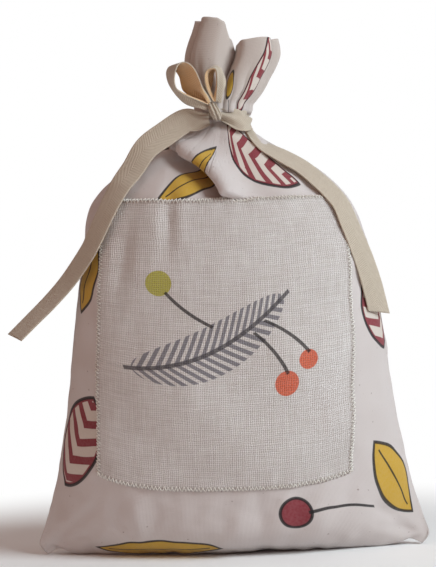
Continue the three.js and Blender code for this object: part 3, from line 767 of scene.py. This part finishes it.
def filling():
    rise = np.linspace(0, 1, 46)[:, None]
    across = np.linspace(-1, 1, 48)[None, :] * eased(FILL_REACH, rise)
    level = FILL_BOTTOM + FILL_RISE * rise + 0 * across
    sides = []
    for face in (FRONT, BACK):
        way = -face
        base = cloth_shape(way * across, level, face)
        hollow = np.zeros(level.shape)
        if face == FRONT:
            hollow = np.minimum(fold_over(base[..., 0], base[..., 2])[0], 0)
        inward = FILL_GAP - FOLD_ROOM * hollow
        side = base - facing(cloth_shape, way * across, level, face) * inward[..., None]
        side[..., 1] = face * np.maximum(side[..., 1] * face, 0.6)
        sides.append(side)
    rings = np.concatenate(sides, axis=1)
    rings[..., 2] = np.maximum(rings[..., 2], 3)
    rough = 0.5 * ripple(rings[..., 0] + rings[..., 1], rings[..., 2], 6, 91)
    middle = rings.mean(axis=1, keepdims=True)
    away = rings - middle
    rings = rings + away / np.linalg.norm(away, axis=-1, keepdims=True) * (rough[..., None] - 0.7)
    rows, around = rings.shape[:2]
    index = np.arange(rows * around).reshape(rows, around)
    ahead = np.roll(index, -1, axis=1)
    quads = np.stack([index[:-1], ahead[:-1], ahead[1:], index[1:]], axis=-1).reshape(-1, 4).tolist()
    points = np.concatenate([rings.reshape(-1, 3), rings[0].mean(axis=0)[None], rings[-1].mean(axis=0)[None]])
    low, high = rows * around, rows * around + 1
    quads += [[low, b, a] for a, b in zip(index[0], ahead[0])]
    quads += [[high, a, b] for a, b in zip(index[-1], ahead[-1])]
    return closed_mesh("pine_shavings", points, quads)


def shavings_finish():
    finish = Finish("pine shavings", 0.8)
    place = finish.object_place()
    curls = finish.node("ShaderNodeTexVoronoi", {"feature": "F1"}, {"Vector": place, "Scale": 260.0})
    grain = finish.noise(place, 900, 3.0)
    wood = finish.mix(grain, "c99f68", "e3c596")
    # Painted shade: the wood is darkened in the hollows between the curls, where the bump is low.
    finish.feed("Base Color", finish.mix(finish.step(curls, 0.35, 0.8) * 0.6, wood, "8f6a3e"))
    finish.bump(curls * -1.0 + grain * 0.3, 0.8, 0.001)
    return finish.material


shavings = filling()
shavings.data.materials.append(shavings_finish())
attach(shavings, "sachet")
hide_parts("pine_shavings")

# The tape: ten millimetre cotton twill in its natural colour. One length goes round the gathered neck and
# is tied at the front in a bow: the knot, a strand behind it, two loops and two tails cut at a slant.
TAPE = 0.5
TAPE_WIDTH = 10
TAPE_COLUMNS = 19
TAPE_CUP = 0.22
# How far up the tape's flat length its inner face is drawn, where painted warm light is put on it, for light
# that shines through the tape and bounces inside the loops.
INNER = 400
# The left tail, then the right: x, y and z as shares of the half width, half depth and shoulder height,
# the width as a share of the tape's, and its tilt about its own line in quarter turns.
LEFT_TAIL = [
    (-0.067, -0.432, 0.998, 0.45, 0), (-0.128, -0.41, 0.996, 0.78, 0.01), (-0.19, -0.394, 0.997, 0.95, 0.03),
    (-0.293, -0.406, 0.968, 1, 0.08), (-0.388, -0.419, 0.937, 1, 0.17), (-0.457, -0.438, 0.891, 1, 0.28),
    (-0.525, -0.463, 0.851, 1, 0.39), (-0.594, -0.47, 0.796, 1, 0.47), (-0.659, -0.444, 0.737, 1, 0.5),
    (-0.704, -0.406, 0.7, 1, 0.52), (-0.801, -0.311, 0.641, 1, 0.54), (-0.896, -0.273, 0.594, 1, 0.57),
    (-0.993, -0.254, 0.552, 1, 0.59), (-1.088, -0.241, 0.511, 1, 0.6),
]
RIGHT_TAIL = [
    (0.126, -0.2, 0.985, 0.6, 0.78), (0.153, -0.235, 0.962, 0.8, 0.74), (0.203, -0.285, 0.936, 0.95, 0.7),
    (0.302, -0.282, 0.911, 1, 0.6), (0.392, -0.277, 0.887, 1, 0.58), (0.462, -0.302, 0.86, 1, 0.55),
    (0.529, -0.322, 0.83, 1, 0.53), (0.586, -0.355, 0.796, 1, 0.5), (0.622, -0.395, 0.754, 1, 0.47),
    (0.657, -0.4, 0.712, 1, 0.44), (0.697, -0.387, 0.661, 1, 0.41), (0.73, -0.356, 0.61, 1, 0.38),
    (0.763, -0.311, 0.545, 1, 0.36),
]
# How much farther one edge runs than the middle at the slanting cut, on the left and the right tail.
TAIL_SLANT = (-1.5, 2)
# The loops' near and far edges, from the knot round the loop and back, in millimetres.
LEFT_LOOP_NEAR = [
    (-4.3, -16.2, 177.2), (-5.4, -17.4, 179.5), (-7.2, -18.6, 182.3), (-8.5, -19.4, 185.7),
    (-9.9, -19.8, 189), (-11.8, -20, 191.5), (-14.1, -20.2, 192.5), (-16.2, -20.4, 191.9),
    (-17.4, -20.6, 189.9), (-18.1, -20.8, 187.2), (-18.2, -20.8, 184.5), (-17.3, -20.4, 182),
    (-14.8, -19.6, 180.2), (-11.2, -18.4, 178.6), (-7.8, -17.3, 177.2), (-5.3, -16.4, 176.2),
]
LEFT_LOOP_FAR = [
    (-4.9, -14, 177.4), (-8.4, -12.9, 178.9), (-12.5, -12.3, 180.5), (-15, -12.1, 182.5),
    (-15.8, -12.4, 185.1), (-16.3, -12.4, 187.8), (-17.7, -11.9, 190.3), (-19.4, -11.5, 192.2),
    (-20.8, -11.5, 191.4), (-21.4, -11.7, 189.3), (-20.9, -11.8, 186.3), (-19.6, -11.8, 183.5),
    (-17.2, -11.9, 180.1), (-14.1, -12.3, 177.2), (-9.8, -13, 175.6), (-5.7, -14, 174.9),
]
RIGHT_LOOP_NEAR = [
    (-3.3, -16.3, 177.2), (-4.5, -16.7, 179.3), (-5.8, -17.3, 182), (-6.5, -18.1, 185.1),
    (-6.4, -18.9, 188), (-5.2, -19.5, 189.6), (-3.5, -19.8, 190.1), (-2, -19.6, 189.6),
    (-1.6, -19.2, 186.9), (-1.6, -18.4, 183.5), (-1.9, -17.6, 180.3), (-2.2, -16.4, 177.3),
]
RIGHT_LOOP_FAR = [
    (-3.5, -14.2, 177.2), (-5.2, -13.8, 179.7), (-5.2, -12.9, 183), (-3.8, -12.2, 186), (-3.2, -12, 188.8),
    (-2.1, -12, 190.5), (-0.7, -12.1, 190.9), (0.7, -12.3, 189), (1.6, -12.5, 185.9), (1.2, -12.8, 183.2),
    (-0.3, -13.2, 180.4), (-1.9, -14.2, 177.4),
]


def twill_finish():
    finish = Finish("cotton twill tape", 0.85, 0.3)
    place, u, v = finish.cloth()
    edge = finish.step(abs(u), TAPE_WIDTH / 2 - 0.9, TAPE_WIDTH / 2 - 0.5)
    slant = finish.sine((v + abs(u) * 1.0) * (math.tau / 0.9))
    threads = finish.sine(u * (math.tau / 0.45))
    soft = finish.noise(place, 0.5, 3.0)
    height = (slant * 0.5 + threads * 0.25) * (edge * -0.7 + 1) + edge * 0.5 + soft * 0.4
    tape = finish.mix(soft, "bfb09f", "cec0af")
    # Painted light: the inner face is tinted warm orange for light shining through the tape and bouncing
    # inside the loops.
    tape = finish.mix(finish.step(v, INNER - 20, INNER - 10) * 0.65, tape, "e6b478")
    # Painted shade: the tape is darkened along the low lines of the twill.
    finish.feed("Base Color", finish.mix(slant * -0.12 + 0.12, tape, "9c8568"))
    finish.bump(height, 0.5, 0.00035)
    return finish.material


twill = twill_finish()


def tape_piece(name, near, far, body, length, held, normal_side=1):
    """A band of tape between two edges with matching stations.

    It is slightly cupped across, and where its edges are close it is crushed into lengthwise pleats.
    """
    share = np.linspace(0, 1, TAPE_COLUMNS)[None, :, None]
    middle = near[:, None] + (far - near)[:, None] * share
    down, along = np.gradient(middle, axis=0), np.gradient(middle, axis=1)
    normal = np.cross(along, down) * normal_side
    normal /= np.maximum(np.linalg.norm(normal, axis=-1, keepdims=True), 1e-9)
    wide = np.linalg.norm(far - near, axis=-1)[:, None, None]
    crushed = np.sqrt(np.maximum((0.92 * TAPE_WIDTH) ** 2 - wide ** 2, 0)) / 6.5
    middle = middle + normal * (TAPE_CUP * (1 - (2 * share - 1) ** 2) - crushed * np.sin(share * 3 * math.pi))
    run = np.linalg.norm(np.diff((near + far) / 2, axis=0), axis=-1)
    travel = np.concatenate([[0], np.cumsum(run)])[:, None] + 0 * share[..., 0]
    across = (share[..., 0] - 0.5) * TAPE_WIDTH + 0 * travel
    if normal_side < 0:
        middle, normal, across, travel = (a[:, ::-1] for a in (middle, normal, across, travel))
    made = thick_sheet(name, middle, TAPE, normal, np.stack([across, travel], axis=-1), INNER)
    made.data.materials.append(twill)
    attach(made, body)
    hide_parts(name)
    length * MM
    return made


def tail_edges(route):
    """Both edges of a tail, from its route and tilts."""
    stations = np.linspace(0, 1, 110)
    shares = spline(route, stations)
    middle = shares[:, :3] * (HALF_WIDTH, HALF_DEPTH, SHOULDER)
    along = np.gradient(middle, axis=0)
    along /= np.linalg.norm(along, axis=-1, keepdims=True)
    across = np.cross((0, -1, 0), along)
    across /= np.linalg.norm(across, axis=-1, keepdims=True)
    turn = -np.sign(route[-1][0]) * shares[:, 4:5] * math.pi / 2
    across = across * np.cos(turn) + np.cross(along, across) * np.sin(turn)
    wave = 0.12 * ripple(stations * 100, stations * 7, 14, 31)
    half = shares[:, 3:4] * TAPE_WIDTH / 2
    slant = np.clip((stations - 0.93) / 0.07, 0, 1)[:, None] * along * TAIL_SLANT[int(route[-1][0] > 0)]
    near = middle + across * half + np.cross(along, across) * wave[:, None]
    far = middle - across * half - np.cross(along, across) * wave[:, None]
    return near + slant, far - slant


tape_piece("tape_tail_left", *tail_edges(LEFT_TAIL), "left_tail", 121, "draped")
tape_piece("tape_tail_right", *tail_edges(RIGHT_TAIL), "right_tail", 96, "draped")
for side, near, far, length, outer in (
    ("left", LEFT_LOOP_NEAR, LEFT_LOOP_FAR, 48, 1), ("right", RIGHT_LOOP_NEAR, RIGHT_LOOP_FAR, 34, -1),
):
    stations = np.linspace(0, 1, 90)
    near, far = spline(near, stations), spline(far, stations)
    tape_piece(f"tape_loop_{side}", near, far, f"{side}_loop", length, "folded", outer)

# The knot: the same tape, wound once over the bow's crossing and pulled so tight that it creases lengthwise.
# It holds both loops and both tails at the front of the neck.
KNOT_CENTRE = (-3, -15.25, 173.6)
KNOT_HALF = 1.8
KNOT_RADIUS = (2.3, 2.6)
KNOT_PLEAT = 1.3
KNOT_LEAN = 0.35
KNOT_START = 1.2
KNOT_TURNS = 1.06


def knot():
    angle = np.linspace(KNOT_START, KNOT_START + KNOT_TURNS * math.tau, 72)[:, None]
    share = np.linspace(-1, 1, 33)[None, :]
    swell = 1 - 0.16 * np.abs(share) ** 3
    crease_out = KNOT_PLEAT * (np.abs(np.sin(share * 4.2 + 0.5 * np.sin(angle))) - 0.5)
    grow = 1 + 0.012 * (angle - KNOT_START)
    y = KNOT_CENTRE[1] + (KNOT_RADIUS[0] * swell + crease_out) * grow * np.cos(angle)
    up = (KNOT_RADIUS[1] * swell + crease_out) * grow * np.sin(angle)
    x = KNOT_CENTRE[0] + share * KNOT_HALF * (1 + 0.1 * np.sin(angle * 2 + 1)) - KNOT_LEAN * up
    middle = np.stack([x, y, KNOT_CENTRE[2] + up], axis=-1)
    travel = (angle - KNOT_START) * np.mean(KNOT_RADIUS) + 0 * share
    across = share * TAPE_WIDTH / 2 + 0 * angle
    tied("tape_knot", middle, across, travel)


def tied(name, middle, across, travel):
    """A piece of tape that stays with the bag."""
    made = thick_sheet(name, middle, TAPE, None, np.stack([across, travel], axis=-1))
    made.data.materials.append(twill)
    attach(made, "sachet")
    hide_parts(name)


# The tie: the tape's turn round the gathered neck, under the knot. It is drawn in until the cloth can't slip,
# and is crushed into lengthwise pleats.
WRAP_RADIUS = 10.1
WRAP_HALF = 1.65
WRAP_PLEAT = 1.1
TIE = 173.1


def neck_wrap():
    angle = np.linspace(0, math.tau, 161)[:, None]
    share = np.linspace(-1, 1, 33)[None, :]
    crease_out = WRAP_PLEAT * (np.abs(np.sin(share * 4.6 + 0.4 * np.sin(3 * angle))) - 0.5)
    radius = WRAP_RADIUS + crease_out
    z = TIE + share * WRAP_HALF + 0.15 * np.sin(2 * angle)
    middle = np.stack([radius * np.sin(angle), -radius * np.cos(angle), z], axis=-1)
    tied("tape_neck_wrap", middle, share * TAPE_WIDTH / 2 + 0 * angle, angle * WRAP_RADIUS + 0 * share)


# The strand: the same tape where it comes out from behind the knot and spreads flat round the neck's right
# side, as far as the start of the right tail.
STRAND_DEPTH = 11.8
# Its turn from the front in quarter turns, how far its middle lies below the tie, how far its lower edge
# stands out, and its width.
STRAND = [
    (-0.27, 0.06, 0, 0.42), (-0.1, 0.06, 0, 0.42), (0.08, 0.2, 0.1, 0.6), (0.25, 0.28, 0.2, 0.84),
    (0.38, 0.3, 0.3, 0.92), (0.5, 0.31, 0.33, 0.88), (0.62, 0.34, 0.33, 0.72),
]


def strand():
    turn, drop, lean, wide = (a[:, None] for a in spline(STRAND, np.linspace(0, 1, 48)).T)
    turn, wide = turn * math.pi / 2, wide * TAPE_WIDTH
    outward = np.stack([np.sin(turn), -np.cos(turn), 0 * turn], axis=-1)[:, 0]
    middle = outward * (STRAND_DEPTH + lean * wide / 2)
    middle[:, 2] = (TIE - drop * wide)[:, 0]
    across = np.concatenate([outward[:, :2] * lean, -np.sqrt(1 - lean ** 2)], axis=-1)
    tape_piece(
        "tape_strand", middle + across * wide / 2, middle - across * wide / 2, "sachet", 20, "gathered", -1
    )


knot()
neck_wrap()
strand()

# The photograph's camera: level, 650 mm from the bag's axis, turned a little about its own line of sight.
AWAY = 650
SCALE = 0.4
FRAME_HIGH = 567
ROLL = math.radians(1.7)
CENTRE = (-3.65, 106.4)
camera_data = bpy.data.cameras.new("camera")
camera_data.sensor_width = 36
camera_data.lens = 36 * AWAY / (FRAME_HIGH * SCALE)
camera = bpy.data.objects.new("camera", camera_data)
bpy.context.collection.objects.link(camera)
camera.matrix_world = (
    Matrix.Translation((AXIS[0] + CENTRE[0] * MM, AXIS[1] - AWAY * MM, CENTRE[1] * MM))
    @ Matrix.Rotation(ROLL, 4, "Y")
    @ Matrix.Rotation(math.pi / 2, 4, "X")
)
bpy.context.scene.camera = camera

# The place: a plain pale floor, white to the camera away from the bag, soft light that is stronger from the
# right, and a dim room that is white only to the camera.
FLOOR = 6.0
FLOOR_TONE = (0.94, 0.94, 0.94, 1)
FADE = (0.1, 0.23)
WHITE = (1, 1, 1, 1)
ROOM_LIGHT = 0.2
ROOM_TINT = (1, 0.74, 0.66, 1)


def floor_finish():
    finish = Finish("pale floor", 0.9)
    x, y, _ = finish.parts(finish.object_place())
    far = finish.step((x * x + y * y) ** 0.5, *FADE)
    ray = finish.node("ShaderNodeLightPath")
    white = finish.node("ShaderNodeEmission", None, {"Color": WHITE, "Strength": 1.0})
    finish.shader.inputs["Base Color"].default_value = FLOOR_TONE
    finish.shader.inputs["Specular IOR Level"].default_value = 0.0
    surface = Wire(finish, finish.shader.outputs[0])
    mixed = finish.node("ShaderNodeMixShader", None, {0: far * ray, 1: surface, 2: white})
    output = next(n for n in finish.tree.nodes if n.type == "OUTPUT_MATERIAL")
    finish.tree.links.new(mixed.socket, output.inputs["Surface"])
    return finish.material


bpy.ops.mesh.primitive_plane_add(size=FLOOR, location=(0, 0, 0))
floor = bpy.context.object
floor.name = "floor"
floor.data.materials.append(floor_finish())


def soft_lamp(name, place, size, power, tint):
    """A square lamp that faces the middle of the bag."""
    data = bpy.data.lights.new(name, "AREA")
    data.shape = "SQUARE"
    data.size = size
    data.energy = power
    data.color = tint
    lamp = bpy.data.objects.new(name, data)
    bpy.context.collection.objects.link(lamp)
    lamp.location = place
    lamp.rotation_mode = "QUATERNION"
    lamp.rotation_quaternion = (Vector(place) - Vector((0, 0, 0.1))).to_track_quat("Z", "Y")


soft_lamp("window", (0.9, -0.6, 0.75), 0.6, 14, (0.83, 0.95, 1))
soft_lamp("fill", (-0.85, -0.7, 0.6), 0.9, 1.6, (1, 0.52, 0.32))
soft_lamp("above", (0.2, 0.2, 1.2), 0.8, 2, (1, 1, 1))

world = bpy.data.worlds.new("surroundings")
bpy.context.scene.world = world
world.use_nodes = True
nodes, links = world.node_tree.nodes, world.node_tree.links
background = nodes["Background"]
ray = nodes.new("ShaderNodeLightPath")
strength = nodes.new("ShaderNodeMapRange")
links.new(ray.outputs["Is Camera Ray"], strength.inputs["Value"])
strength.inputs["To Min"].default_value = ROOM_LIGHT
strength.inputs["To Max"].default_value = 1.0
links.new(strength.outputs["Result"], background.inputs["Strength"])
tint = nodes.new("ShaderNodeMix")
tint.data_type = "RGBA"
tint.inputs[6].default_value = ROOM_TINT
tint.inputs[7].default_value = WHITE
links.new(ray.outputs["Is Camera Ray"], tint.inputs[0])
links.new(tint.outputs[2], background.inputs["Color"])
bpy.context.scene.view_settings.view_transform = "Standard"
